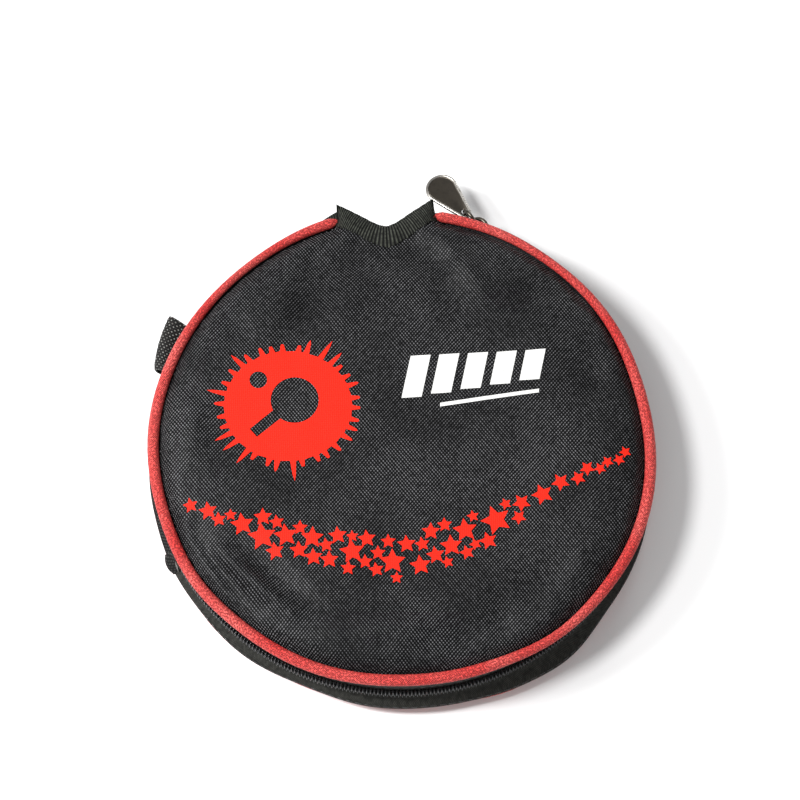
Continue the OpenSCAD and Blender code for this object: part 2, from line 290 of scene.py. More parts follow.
class Shader:
    """Builds one material's nodes."""

    def __init__(self, name, roughness=0.6, **sockets):
        self.material = bpy.data.materials.new(name)
        self.material.use_nodes = True
        self.tree = self.material.node_tree
        self.surface = self.tree.nodes["Principled BSDF"]
        self.set(Roughness=roughness, **sockets)

    def set(self, **sockets):
        for key, value in sockets.items():
            self.plug(self.surface.inputs[key.replace("_", " ")], value)

    def plug(self, socket, value):
        if isinstance(value, bpy.types.NodeSocket):
            self.tree.links.new(value, socket)
        elif isinstance(value, (tuple, list)) and len(value) == 3 and socket.type == "RGBA":
            socket.default_value = (*value, 1)
        else:
            socket.default_value = value

    def node(self, kind, output, settings=(), **inputs):
        made = self.tree.nodes.new(kind)
        for key, value in dict(settings).items():
            setattr(made, key, value)
        for key, value in inputs.items():
            self.plug(made.inputs[key.replace("_", " ")], value)
        return made.outputs[output]

    def math(self, operation, a, b=0.0, clamp=False):
        made = self.tree.nodes.new("ShaderNodeMath")
        made.operation = operation
        made.use_clamp = clamp
        self.plug(made.inputs[0], a)
        self.plug(made.inputs[1], b)
        return made.outputs[0]

    def mix(self, factor, a, b):
        made = self.tree.nodes.new("ShaderNodeMix")
        made.data_type = "RGBA"
        self.plug(made.inputs[0], factor)
        self.plug(made.inputs[6], a)
        self.plug(made.inputs[7], b)
        return made.outputs[2]

    def blend(self, factor, a, b):
        made = self.tree.nodes.new("ShaderNodeMix")
        made.data_type = "FLOAT"
        self.plug(made.inputs[0], factor)
        self.plug(made.inputs[2], a)
        self.plug(made.inputs[3], b)
        return made.outputs[0]

    def cloth(self, turn=0.0):
        """The cloth's own coordinates in millimetres, turned by some degrees."""
        uv = self.node("ShaderNodeUVMap", "UV", {"uv_map": "Cloth"})
        if turn:
            uv = self.node("ShaderNodeVectorRotate", "Vector", {"rotation_type": "Z_AXIS"},
                           Vector=uv, Angle=math.radians(turn))
        split = self.tree.nodes.new("ShaderNodeSeparateXYZ")
        self.plug(split.inputs[0], uv)
        return split.outputs[0], split.outputs[1], uv

    def place(self):
        """The point's place in the object, for detail that needn't follow the cloth."""
        return self.node("ShaderNodeTexCoord", "Object")

    def noise(self, vector, scale, detail, roughness=0.55):
        return self.node("ShaderNodeTexNoise", 0, Vector=vector, Scale=scale, Detail=detail,
                         Roughness=roughness)

    def level(self, value, low, high, to_low=0.0, to_high=1.0):
        """value, spread from between low and high to between to_low and to_high."""
        return self.node("ShaderNodeMapRange", 0, Value=value, From_Min=low, From_Max=high,
                         To_Min=to_low, To_Max=to_high)

    def bump(self, height, distance, strength=1.0):
        return self.node("ShaderNodeBump", 0, Height=height, Distance=distance * MM, Strength=strength)

    def weave(self, u, v, pitch_u, pitch_v, long=0.35):
        """A plain weave: its height from 0 to 1, and 1 where the thread along v is on top."""
        su = self.math("SINE", self.math("MULTIPLY", u, math.pi / pitch_u))
        sv = self.math("SINE", self.math("MULTIPLY", v, math.pi / pitch_v))
        over = self.math("GREATER_THAN", self.math("MULTIPLY", su, sv), 0.0)
        a, b = self.math("ABSOLUTE", su), self.math("ABSOLUTE", sv)
        along_v = self.math("MULTIPLY", a, self.math("POWER", b, long))
        along_u = self.math("MULTIPLY", b, self.math("POWER", a, long))
        return self.blend(over, along_u, along_v), over


def woven(name, dark, light, pitch, turn=0.0, lift=0.04, gloss=0.4, shine=0.2, speck=0.4):
    """Plain woven cloth. Its crowns stand in diagonal rows: in one place the falling rows show lighter, in
    another the rising ones, a painted sheen where the threads are pulled. The crowns are painted lighter than
    the gaps as painted highlight and painted shade, and broad patches are painted lighter and darker as
    painted sheen.
    pitch is that of the threads along u and along v."""
    s = Shader(name, Specular_IOR_Level=shine)
    u, v, uv = s.cloth(turn)
    rows = []
    for sign in (-1, 1):
        way = s.math("ADD", s.math("MULTIPLY", u, math.pi / pitch[0]),
                     s.math("MULTIPLY", v, sign * math.pi / pitch[1]))
        rows.append(s.level(s.math("COSINE", way), -1, 1))
    falling = s.math("MULTIPLY", rows[0], s.level(rows[1], 0, 1, 0.4, 1))
    rising = s.math("MULTIPLY", rows[1], s.level(rows[0], 0, 1, 0.4, 1))
    height = s.blend(s.level(s.noise(uv, 0.05, 2.0), 0.45, 0.55), falling, rising)
    uneven = s.noise(uv, 0.55, 2.0)
    patch = s.noise(uv, 0.03, 3.0)
    # painted highlight on the thread crowns, painted shade in the gaps between them
    shade = s.math("MULTIPLY", s.math("POWER", height, 3.0), s.level(uneven, 0.3, 0.7, 1 - speck, 1 + speck))
    # broad lighter and darker patches: painted sheen
    shade = s.math("MULTIPLY", shade, s.level(patch, 0.35, 0.65, 0.55, 1.35), clamp=True)
    s.set(Base_Color=s.mix(shade, dark, light), Roughness=s.level(height, 0, 1, gloss + 0.25, gloss))
    s.set(Normal=s.bump(height, lift))
    return s.material


def grosgrain():
    """Ribbed binding ribbon: rib crowns painted pale as a painted highlight, painted shade between them, and
    fine cross threads.
    """
    s = Shader("grosgrain", Specular_IOR_Level=0.12)
    u, v, uv = s.cloth()
    threads = s.math("ABSOLUTE", s.math("SINE", s.math("MULTIPLY", v, math.pi / 0.4)))
    ribs = s.math("ABSOLUTE", s.math("SINE", s.math("MULTIPLY", u, math.pi / RIB)))
    uneven = s.noise(uv, 0.9, 3.0)
    # pale rib crowns are painted highlight, the dark between them painted shade
    shade = s.math("MULTIPLY", s.math("POWER", ribs, 4.0), s.level(uneven, 0.35, 0.65, 0.25, 1.0), clamp=True)
    s.set(Base_Color=s.mix(shade, (0.002, 0.002, 0.002), (0.07, 0.075, 0.06)))
    s.set(Roughness=0.6, Normal=s.bump(threads, 0.06))
    return s.material


def red_cover():
    """The piping's red cover: a fine weave, mottled from deep red to a paler pink that stands in for painted
    sheen, with painted shade as dark specks in its gaps.
    """
    s = Shader("red_cover", Specular_IOR_Level=0.25)
    u, v, uv = s.cloth(38)
    height = s.weave(u, v, 0.55, 0.55)[0]
    mottle = s.noise(uv, 1.3, 2.0, 0.8)
    # large random patches from deep red to a paler pink: mottling, with the pink as painted sheen
    mottle_and_sheen = s.noise(uv, 0.05, 3.0)
    # dark specks in the gaps between threads: painted shade, spread by the mottle
    gap_shade_specks = s.math("MULTIPLY", s.math("SUBTRACT", 1.0, height), s.level(mottle, 0.40, 0.56, 0.1, 2.8),
                  clamp=True)
    red = s.mix(s.level(mottle_and_sheen, 0.35, 0.65), (0.82, 0.055, 0.048), (0.97, 0.15, 0.13))
    s.set(Base_Color=s.mix(gap_shade_specks, red, (0.14, 0.004, 0.005)), Roughness=0.6, Normal=s.bump(height, 0.12))
    return s.material


def printed(name, colour, shadow):
    """Screen print on woven cloth, through which the weave shows."""
    s = Shader(name, Specular_IOR_Level=0.12)
    u, v, uv = s.cloth(WEAVE_TURN)
    height = s.weave(u, v, PRINT_WEAVE, PRINT_WEAVE)[0]
    grain = s.noise(uv, 1.6, 2.0)
    gaps = s.math("MULTIPLY", s.math("POWER", s.math("SUBTRACT", 1.0, height), 2.2),
                  s.level(grain, 0.4, 0.7, 0.05, 0.9), clamp=True)
    s.set(Base_Color=s.mix(gaps, colour, shadow), Roughness=0.55, Normal=s.bump(height, 0.06))
    return s.material


def plastic():
    """Moulded nylon of the coil."""
    s = Shader("nylon", Coat_Weight=0.15, Coat_Roughness=0.25)
    grain = s.noise(s.place(), 2500, 3.0)
    s.set(Base_Color=s.mix(grain, (0.008, 0.008, 0.009), (0.022, 0.022, 0.025)))
    s.set(Roughness=s.level(grain, 0.3, 0.7, 0.25, 0.42))
    return s.material


def metal(name, colour, worn, roughness):
    """Plated metal, with fine scratches and a duller bloom."""
    s = Shader(name, Metallic=1.0)
    at = s.place()
    bloom = s.noise(at, 320, 4.0)
    scratch = s.noise(at, 2600, 2.0, 0.8)
    s.set(Base_Color=s.mix(s.level(bloom, 0.35, 0.7), colour, worn))
    s.set(Roughness=s.level(bloom, 0.3, 0.7, roughness, roughness + 0.18), Normal=s.bump(scratch, 0.01, 0.4))
    return s.material


def webbing_cloth():
    """Coarse webbing, near black, with pale specks painted on its thread crowns as painted highlights."""
    s = Shader("webbing_cloth", Specular_IOR_Level=0.15)
    u, v, uv = s.cloth()
    height, over = s.weave(u, v, WEB_PITCH, WEB_PITCH, 0.5)
    grain = s.noise(uv, 1.7, 3.0, 0.7)
    # pale specks on the thread crowns: painted highlight
    crown_highlights = s.math("MULTIPLY", s.math("POWER", height, 4.0), s.level(grain, 0.36, 0.58, 0.0, 1.0),
                    clamp=True)
    crown_highlights = s.math("MULTIPLY", crown_highlights, s.blend(over, 0.1, 1.0))
    s.set(Base_Color=s.mix(crown_highlights, (0.003, 0.003, 0.003), (0.34, 0.34, 0.31)), Roughness=0.6)
    s.set(Normal=s.bump(grain, 0.05))
    return s.material


def zip_tape_cloth():
    """Herringbone woven zip tape, its rib crowns painted lighter as painted highlight and painted shade
    between them.
    """
    s = Shader("zip_tape_cloth", Specular_IOR_Level=0.12)
    u, v, uv = s.cloth()
    fold = s.math("PINGPONG", v, 1.5)
    ribs = s.math("ABSOLUTE", s.math("SINE", s.math("MULTIPLY", s.math("ADD", u, fold), math.pi / 0.6)))
    uneven = s.noise(uv, 0.7, 3.0)
    # lighter rib crowns are painted highlight, the dark between them painted shade
    shade = s.math("MULTIPLY", ribs, s.level(uneven, 0.3, 0.7, 0.3, 1.0), clamp=True)
    s.set(Base_Color=s.mix(shade, (0.002, 0.002, 0.002), (0.05, 0.05, 0.044)))
    s.set(Roughness=0.7, Normal=s.bump(ribs, 0.07))
    return s.material


def floor_paint():
    """A pale studio floor."""
    s = Shader("floor_paint", 0.9, Specular_IOR_Level=0.1)
    cloud = s.noise(s.place(), 3.0, 2.0)
    s.set(Base_Color=s.mix(cloud, (0.88, 0.88, 0.885), (0.90, 0.90, 0.90)))
    return s.material


# thread pitches in millimetres, and the turn of the front's weave in degrees
OXFORD = (0.62, 0.74)
PRINT_WEAVE = 0.68
WEB_PITCH = 0.87
RIB = 0.85
WEAVE_TURN = 5
SHELL = woven("shell_cloth", (0.0006, 0.0006, 0.0008), (0.165, 0.165, 0.172), OXFORD, WEAVE_TURN,
              gloss=0.33, shine=0.08, speck=0.6)
GUSSET = woven("gusset_cloth", (0.002, 0.002, 0.002), (0.07, 0.07, 0.066), OXFORD, shine=0.15)
LINING = woven("lining_cloth", (0.01, 0.01, 0.011), (0.05, 0.051, 0.055), (0.34, 0.34), 3, lift=0.02)
SEAM = woven("seam_cloth", (0.008, 0.008, 0.009), (0.055, 0.055, 0.06), (0.5, 0.5))
RIBBON = grosgrain()
RED = red_cover()
NYLON = plastic()
TAPE = zip_tape_cloth()
WEBBING = webbing_cloth()
# a darker copy of the nickel: painted shade and painted dark reflections, on the slider, link, bottom stop
# and the pull's sunken face
SHADED_NICKEL = metal("shaded_nickel", (0.10, 0.088, 0.072), (0.045, 0.04, 0.034), 0.26)
BRIGHT_METAL = metal("worn_nickel", (0.50, 0.48, 0.45), (0.26, 0.245, 0.22), 0.2)
PRINT_RED = printed("print_red", (0.84, 0.018, 0.006), (0.12, 0.004, 0.003))
PRINT_WHITE = printed("print_white", (0.74, 0.74, 0.72), (0.22, 0.22, 0.22))


# ---- panels ----

# the pads stop just short of the ribbon's ends and of its fold
EAR = NOTCH_HALF - 0.3
EDGE_IN = 0.65


def notch_y(x):
    """Height of the V's edge at x: two straight arms that meet in a small round."""
    rise = (NOTCH_TIP_Y - NOTCH_LOW_Y) / (math.hypot(NOTCH_HALF, NOTCH_ROUND) - NOTCH_ROUND)
    return NOTCH_LOW_Y + rise * (np.sqrt(np.asarray(x, float) ** 2 + NOTCH_ROUND ** 2) - NOTCH_ROUND)


def panel_outline(radius, step):
    """A panel's outline, and the length of its first part: an arc from one ear of the notch to the other,
    then up the left ear, along the V and down the right ear."""
    start = math.degrees(math.acos(EAR / radius))
    sweep = 180 + 2 * start
    angles = start - np.linspace(0, sweep, round(math.radians(sweep) * radius / step) + 1)
    arc = polar(radius, angles, 0)[:, :2]
    x = np.linspace(-EAR, EAR, round(2.3 * EAR / step) + 1)
    vee = np.stack([x, notch_y(x) - EDGE_IN], -1)
    rise = np.linspace(arc[-1][1], vee[0][1], max(3, round((vee[0][1] - arc[-1][1]) / step) + 1))[1:-1]
    left = np.stack([np.full_like(rise, -EAR), rise], -1)
    right = np.stack([np.full_like(rise, EAR), rise[::-1]], -1)
    return np.vstack([arc, left, vee, right]), len(arc)


def inside(points, loop):
    """True for the points inside a closed loop."""
    a, b = loop, np.roll(loop, -1, axis=0)
    x, y = points[:, None, 0], points[:, None, 1]
    crosses = (a[:, 1] > y) != (b[:, 1] > y)
    with np.errstate(divide="ignore", invalid="ignore"):
        at = a[:, 0] + (y - a[:, 1]) * (b[:, 0] - a[:, 0]) / (b[:, 1] - a[:, 1])
    return (crosses & (x < at)).sum(1) % 2 == 1


def distance(points, loop):
    """Distance of each point from a closed loop."""
    a, b = loop, np.roll(loop, -1, axis=0)
    d = b - a
    t = ((points[:, None] - a) * d).sum(-1) / (d * d).sum(-1)
    return np.linalg.norm(points[:, None] - a - np.clip(t, 0, 1)[..., None] * d, axis=-1).min(1)


def filled(loops, step):
    """Points and triangles that fill a shape given by closed loops, with its holes left out."""
    low = np.vstack(loops).min(0) - step
    high = np.vstack(loops).max(0) + step
    rows = np.arange(low[1], high[1], step * math.sqrt(3) / 2)
    lattice = np.array([(x + step / 2 * (k % 2), y) for k, y in enumerate(rows)
                        for x in np.arange(low[0], high[0], step)])
    keep = sum(inside(lattice, loop) for loop in loops) % 2 == 1
    for loop in loops:
        keep &= distance(lattice, loop) > 0.6 * step
    points = np.vstack(loops + [lattice[keep]])
    edges, first = [], 0
    for loop in loops:
        n = len(loop)
        edges += [(first + k, first + (k + 1) % n) for k in range(n)]
        first += n
    made = geometry.delaunay_2d_cdt([Vector(p) for p in points], edges, [], 0, 1e-6)
    flat = np.array([tuple(v) for v in made[0]])
    triangles = np.array(made[2])
    middle = flat[triangles].mean(1)
    keep = sum(inside(middle, loop) for loop in loops) % 2 == 1
    return flat, triangles[keep]


PAD_STEP = 3.6
# a pad's face lies this far inside the CAD's, and falls towards the piping and towards the notch
PAD_IN = 0.45
RIM_DEPTH, RIM_WIDTH = 3.7, 6.2
NOTCH_DEPTH, NOTCH_WIDTH = 1.0, 4.0
# the cloth may puff up by this much at most
PUFF_CAP = 2.5
PUFF_FRAMES = 20


def puffed(obj, rim):
    """Inflates a closed pad as cloth, with its rim sewn down."""
    group = obj.vertex_groups.new(name="rim")
    group.add([int(k) for k in rim], 1.0, "REPLACE")
    cloth = obj.modifiers.new("puff", "CLOTH")
    settings = cloth.settings
    settings.quality = 6
    settings.mass = 0.25
    settings.tension_stiffness = settings.compression_stiffness = 18
    settings.shear_stiffness = 8
    settings.bending_stiffness = 1.2
    settings.use_pressure = True
    settings.uniform_pressure_force = 3.2
    settings.shrink_min = -0.012
    settings.vertex_group_mass = "rim"
    settings.effector_weights.gravity = 0
    cloth.collision_settings.use_collision = False
    scene = bpy.context.scene
    for number in range(1, PUFF_FRAMES + 1):
        scene.frame_set(number)
    shown = obj.evaluated_get(bpy.context.evaluated_depsgraph_get()).to_mesh()
    moved = np.array([v.co for v in shown.vertices]) / MM
    obj.modifiers.remove(cloth)
    scene.frame_set(1)
    return moved


def pad(name, side):
    """A padded panel: woven face, foam and lining as one soft closed form. side is 1 at the front and -1 at
    the back."""
    loop, arc_count = panel_outline(PANEL_R + 0.15, PAD_STEP)
    arc = loop[:arc_count]
    angles = np.degrees(np.arctan2(arc[:, 1], arc[:, 0]))
    arc *= 1 + swelling(FRONT_OUT if side > 0 else BACK_OUT, angles)[:, None] / PANEL_R
    flat, triangles = filled([loop], PAD_STEP)
    rim_count = len(loop)
    away = distance(flat, loop)
    away[:rim_count] = 0
    on_notch = smooth((flat[:, 1] - 74) / 8) * smooth((NOTCH_HALF + 3 - np.abs(flat[:, 0])) / 5)
    depth = RIM_DEPTH + (NOTCH_DEPTH - RIM_DEPTH) * on_notch
    width = RIM_WIDTH + (NOTCH_WIDTH - RIM_WIDTH) * on_notch
    roll = 1 - np.clip(away / width, 0, 1)
    rng = np.random.default_rng(7)
    outer = MID - PAD_IN - depth * roll ** 2.2 + rng.normal(0, 0.05, len(flat)) * (away > 0)
    inner = MID - SHELL_T + 0.25 * roll ** 2
    count = len(flat)
    points = np.vstack([
        np.column_stack([flat, MID + side * outer]),
        np.column_stack([flat, MID + side * inner])
    ])
    wall = [(k, (k + 1) % rim_count, count + (k + 1) % rim_count, count + k) for k in range(rim_count)]
    faces = [tuple(t) for t in triangles] + [tuple(t[::-1] + count) for t in triangles] + wall
    corners = np.vstack([points[list(f), :2] for f in faces])
    obj = make(name, points, faces, corners, [SHELL, LINING], 180)
    rim = list(range(rim_count)) + list(range(count, count + rim_count))
    moved = puffed(obj, rim)
    shift = moved - points
    length = np.linalg.norm(shift, axis=1, keepdims=True)
    shift *= np.minimum(1, PUFF_CAP / np.maximum(length, 1e-9))
    shift[count:] *= 0.35
    points = points + shift
    obj.data.vertices.foreach_set("co", (points * MM).ravel())
    for k, polygon in enumerate(obj.data.polygons):
        polygon.material_index = 1 if min(polygon.vertices) >= count else 0
    fine = obj.modifiers.new("fine", "SUBSURF")
    fine.levels = fine.render_levels = 2
    fine.uv_smooth = "NONE"
    mesh = bpy.data.meshes.new_from_object(obj.evaluated_get(bpy.context.evaluated_depsgraph_get()))
    obj.modifiers.clear()
    obj.data = mesh
    mesh.name = name
    return obj


def creased(obj, side, dents):
    """Presses soft creases into a pad's face. Each has its two ends, half its width and its height."""
    co = np.array([v.co for v in obj.data.vertices]) / MM
    face = smooth((side * (co[:, 2] - MID) - (MID - SHELL_T + 0.8)) / 1.6)
    lift = np.zeros(len(co))
    for a, b, width, height in dents:
        a, b = np.array(a, float), np.array(b, float)
        t = np.clip(((co[:, :2] - a) @ (b - a)) / ((b - a) @ (b - a)), 0, 1)
        gap = np.linalg.norm(co[:, :2] - a - t[:, None] * (b - a), axis=1)
        lift += height * np.exp(-(gap / width) ** 2) * (0.35 + 0.65 * np.sin(np.pi * np.clip(t, 0.05, 0.95)))
    co[:, 2] += side * face * lift
    obj.data.vertices.foreach_set("co", (co * MM).ravel())
    obj.data.update()


# the front's soft creases, with raised ones positive
FRONT_DENTS = [
    ((-14, 72), (-38, 42), 5.5, -2.4),
    ((-20, 84), (-34, 58), 3.5, -1.4),
    ((-8, 66), (-26, 40), 6, 1.2),
    ((-67, -38), (-43, -62), 3.2, 2.6),
    ((-59, -36), (-36, -59), 4.2, -2.2),
    ((-75, -30), (-56, -60), 3.2, -2.0),
    ((19, 78), (33, 56), 4.5, 2.2),
    ((11, 74), (24, 46), 6, -1.5),
    ((34, -60), (62, -52), 7, -2.0),
    ((8, -76), (38, -68), 7, -1.6),
    ((68, -42), (50, -62), 5, 1.6),
    ((-24, -68), (6, -72), 6, 1.3),
    ((60, 34), (76, 2), 7, -1.2),
    ((-72, 25), (-77, -8), 5, 1.2),
    ((42, 45), (68, 20), 8, 1.2),
    ((-5, 20), (30, -10), 16, -1.0),
]


def top_of(obj):
    """A function that gives the height of a mesh's outer face over a point, in millimetres. Past the mesh's
    edge it takes the face a little further in."""
    mesh = obj.data
    tree = BVHTree.FromPolygons([v.co for v in mesh.vertices], [tuple(p.vertices) for p in mesh.polygons])
    def height(x, y, side):
        for pull in (1, 0.995, 0.985, 0.97):
            at = Vector((x * MM * pull, y * MM * pull, side))
            hit = tree.ray_cast(at, Vector((0, 0, -side)))[0]
            if hit:
                return hit.z / MM
        return MID + side * (MID - RIM_DEPTH)
    return height


def front_pad():
    obj = pad("front_pad", 1)
    creased(obj, 1, FRONT_DENTS)
    bend_with_flap(obj)
    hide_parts("front_panel", "front_foam", "front_lining", "hinge_panel", "hinge_foam", "hinge_lining")
    return obj


def back_pad():
    obj = pad("back_pad", -1)
    co = np.array([v.co for v in obj.data.vertices])
    co[:, 2] = np.maximum(co[:, 2], 0.0)
    obj.data.vertices.foreach_set("co", co.ravel())
    obj.data.update()
    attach(obj, "back")
    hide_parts("back_panel", "back_foam", "back_lining")
    return obj


# ---- piping and seams ----

# the soft piping is squeezed a little slimmer than the CAD's
CORD_R = PIPING_COVER_R - 0.2


def piping(name, z, places, seed):
    """A cord in a sewn cover, with tapered ends that tuck under the notch's binding. places are its rim's
    swellings."""
    angles = np.linspace(NOTCH_LEFT + 0.6, 360 + NOTCH_RIGHT - 0.6, 560)
    turn = np.radians(np.arange(24) * 15)
    near = np.minimum(angles - angles[0], angles[-1] - angles)
    thick = (0.55 + 0.45 * smooth(near / 2.0)) * (1 + swelling(CORD_THIN, angles))
    body = CORD_R * thick[:, None] * (1 + 0.015 * np.sin(9 * turn + angles[:, None] * 2.3))
    middle = PIPING_R - 0.2 + swelling(places, angles) + waves(angles, seed, 0.12)
    radius = middle[:, None] + body * np.cos(turn)
    height = z + body * np.sin(turn) + waves(angles, seed + 1, 0.14)[:, None]
    rings = polar(radius, angles[:, None], height)
    around = np.radians(np.arange(25) * 15) * PIPING_COVER_R
    obj = tube(name, rings, np.radians(angles) * PIPING_R, around, RED, 60)
    return obj


def seam_tape(name, side, seed):
    """The tape that is folded over the seam allowance inside."""
    z0 = SHELL_T + 0.1
    section = [(-5.6, 0.3), (-5.4, 0), (-3, 0), (-0.3, 0), (0.2, 1.15), (0.8, 1.2), (1.15, 1.6),
               (0.9, 2.0), (0.2, 1.95), (-1, 1.6), (-3, 1.5), (-5.3, 1.5), (-5.6, 1.2)]
    profile = np.array([(PANEL_R + r, MID + side * (MID - z0 - z)) for r, z in section])
    angles = np.linspace(NOTCH_LEFT + 0.8, 360 + NOTCH_RIGHT - 0.8, 420)
    sag = np.abs(waves(angles, seed + 1, 0.1, 5, 40))
    shift = np.stack([waves(angles, seed, 0.12, 5, 40), -side * sag], -1)
    rim = swelling(FRONT_OUT if side > 0 else BACK_OUT, angles)
    shift[:, 0] += rim
    over_piping = np.clip(profile[:, 0] - PANEL_R, 0, 1)
    obj = swept(name, profile, angles, SEAM, PANEL_R, shift, over_piping, rim[:, None])
    return obj


# ---- zip ----

def tape_profile(side):
    """A zip tape's section: thin at the seam, with a woven ridge that carries the coil."""
    near, far = TAPE_GAP, MID - WALL_INSET
    heights = np.linspace(far, near + 0.2, 18)
    outer = [(CASE_R + 0.05 * math.sin(2.5 * z), z) for z in heights]
    lip = [(CASE_R - 0.2, near), (CASE_R - 0.65, near)]
    inner = [(CASE_R - 0.8, z) for z in heights[::-1]]
    return np.array([(r, MID + side * z) for r, z in outer + lip + inner])


def zip_tape(name, side):
    angles = np.linspace(ZIP_END, NOTCH_RIGHT, 460)
    obj = swept(name, tape_profile(side), angles, TAPE, CASE_R)
    return obj


def beads(name, rings, stations, material):
    """Many small closed forms in one mesh. rings holds the rings of points of each, stations to a form."""
    columns = len(rings[0])
    quads, grid = tube_faces(stations, columns)
    step = stations * columns
    cap = list(range(columns))
    faces, corners = [], []
    for base in range(0, len(rings) * columns, step):
        faces += (quads + base).tolist()
        faces.append([base + k for k in cap][::-1])
        faces.append([base + step - columns + k for k in cap])
        corners += [grid.reshape(-1, 2) * 0.3, np.zeros((2 * columns, 2))]
    return make(name, np.vstack(rings), faces, np.vstack(corners), material, 60)


COIL_PITCH = 1.3
TOOTH_T = 0.56
# a turn's head is a little thicker than its legs, and rounded: height past the middle, and thickness
TOOTH = [(-0.42, 0.25), (-0.30, 0.75), (0.05, 1.0), (0.45, 0.92), (1.1, 0.86), (2.0, 0.86), (2.75, 0.8),
         (3.15, 0.45)]


def coil(name, side, offset):
    """One row of the zip's coil: each turn is a rounded staple whose head reaches past the middle."""
    first = ZIP_END + 2.2
    arc = math.radians(TOP_STOP - 0.3 - first) * CASE_R
    low, high = CASE_R + 0.1, COIL_OUT_R
    middle, half = (low + high) / 2, (high - low) / 2
    ring = np.radians(np.arange(8) * 45 + 22.5)
    rings = []
    for k in range(int(arc / COIL_PITCH)):
        angle = first + math.degrees((k + offset) * COIL_PITCH / CASE_R)
        for z, fat in TOOTH:
            thick = TOOTH_T / 2 * fat * (1.12 if z < 0.5 else 0.95)
            radius = middle + half * fat * np.sin(ring)
            around = angle + np.degrees(thick * np.cos(ring) / middle)
            rings.append(polar(radius, around, MID + side * z))
    obj = beads(name, rings, len(TOOTH), NYLON)
    return obj


STITCH = 2.3
STITCH_GAP = 0.9
# the two rows of stitches beside the zip: how far each lies from the middle
SEWN = (4.6, 8.6)


def stitches(name, side):
    """Two rows of short stitches along the zip tape. Each is a small capsule, half sunk in the cloth."""
    ring = np.radians(np.arange(6) * 60)
    stations = [(-0.5, 0.35), (-0.38, 0.9), (0, 1.0), (0.38, 0.9), (0.5, 0.35)]
    first, last = SEWN_FROM, NOTCH_RIGHT - 1
    pitch = math.degrees((STITCH + STITCH_GAP) / CASE_R)
    rings = []
    for z in (MID + side * SEWN[0], MID + side * SEWN[1]):
        for k in range(int((last - first) / pitch)):
            angle = first + (k + 0.5) * pitch
            for t, fat in stations:
                turn = angle + math.degrees(t * STITCH / CASE_R)
                out = CASE_R + wall_bulge(z, turn) + 0.02 + 0.08 * fat
                rings.append(polar(out + 0.14 * fat * np.cos(ring), turn, z + 0.16 * fat * np.sin(ring)))
    obj = beads(name, rings, len(stations), NYLON)
    return obj


# ---- notch binding ----

def notch_ribbon(name, pad_height, side):
    """Grosgrain ribbon folded over the V's edge, ribbed across, with its ends cut level with the ears."""
    x = np.linspace(-NOTCH_HALF, NOTCH_HALF, 331)
    edge = np.column_stack([x, notch_y(x)])
    along = lengths(edge)
    slope = np.gradient(edge[:, 1], x)
    lean = np.arctan(slope) * np.sin(np.pi * np.clip(np.abs(x) / NOTCH_HALF, 0, 1)) ** 0.6
    rng = np.random.default_rng(21 + side)
    ragged = np.convolve(rng.normal(0, 1, len(x) + 40), np.ones(9) / 9, "same")[20:-20] * 0.45
    rib = np.abs(np.sin(np.pi * along / RIB)) ** 0.8 * 0.26 + 0.12 * waves(along * 4, 8 + side, 1, 3, 30)
    # distances in from the edge, down the outer face and back up the inner one
    inward = np.concatenate([np.linspace(1.0, 0.5, 9), np.linspace(0.5, 0.13, 4)[1:]]) * RIBBON_W
    # the binding is as wide along its arms as at the corner, where it is mitred
    arm = float(np.abs(slope).max())
    mitre = math.hypot(1, arm)
    rings = []
    for k, (px, py) in enumerate(edge):
        down = np.array([math.sin(lean[k]), -math.cos(lean[k])])
        stretch = mitre / (math.cos(lean[k]) + arm * abs(math.sin(lean[k])))
        width = inward * stretch
        width[0] += ragged[k]
        at = np.array([px, py]) + width[:, None] * down
        bulge = 0.32 * np.sin(np.pi * np.clip(inward / RIBBON_W, 0, 1))
        outer_z = np.array([pad_height(qx, qy, side) for qx, qy in at])
        outer_z = outer_z + side * (0.22 + bulge + rib[k])
        tip_z = outer_z[-1]
        inner_face = MID + side * (MID - SHELL_T - 0.25)
        back = inward[::-1]
        # the fold over the edge is a half round between the two faces
        middle = (tip_z + inner_face) / 2
        reach = abs(tip_z - inner_face) / 2
        turn = np.radians(np.linspace(90, -90, 9))[1:-1]
        start = width[-1]
        fold_at = np.array([px, py]) + (start * (1 - np.cos(turn)))[:, None] * down
        fold_z = middle + side * (reach + rib[k] * 0.8) * np.sin(turn)
        back_at = np.array([px, py]) + (back * stretch)[:, None] * down
        back_z = np.full(len(back), inner_face - side * rib[k] * 0.6)
        parts = [(at, outer_z), (fold_at, fold_z), (back_at, back_z)]
        rings.append(np.vstack([np.column_stack(part) for part in parts]))
    rings = np.array(rings)
    # the back ribbon lies flat on what the case rests on
    rings[..., 2] = np.maximum(rings[..., 2], 0.03)
    around = lengths(rings[len(rings) // 4], close=True)
    obj = tube(name, rings, along, around, RIBBON, 70)
    return obj


# ---- hinge side ----

def gusset_wall():
    """The plain fabric wall on the hinge side, with its lining inside."""
    angles = np.linspace(NOTCH_LEFT + 0.2, HINGE_END + 0.3, 260)
    profile = round_band(CASE_R - 1.4, CASE_R, WALL_INSET - 0.6, TOP - WALL_INSET + 0.6, 0.3, 2, 12)
    z = (profile[:, 1] - MID) / (MID - WALL_INSET)
    rings = []
    for a in angles:
        bow = 0.35 * (1 - z ** 2) + 0.3 * np.sin(z * 3 + a / 9) * (1 - z ** 2) * math.sin(math.radians(a * 7))
        rings.append(polar(profile[:, 0] + bow + wall_bulge(profile[:, 1], a), a, profile[:, 1]))
    around = lengths(profile, close=True)
    obj = tube("gusset_wall", rings, np.radians(angles) * CASE_R, around, [GUSSET, LINING], 50)
    for polygon in obj.data.polygons:
        at = polygon.center / MM
        outward = polygon.normal.x * at.x + polygon.normal.y * at.y
        if outward < 0:
            polygon.material_index = 1
    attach(obj, "back")
    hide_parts("hinge_gusset", "hinge_gusset_lining")
    return obj


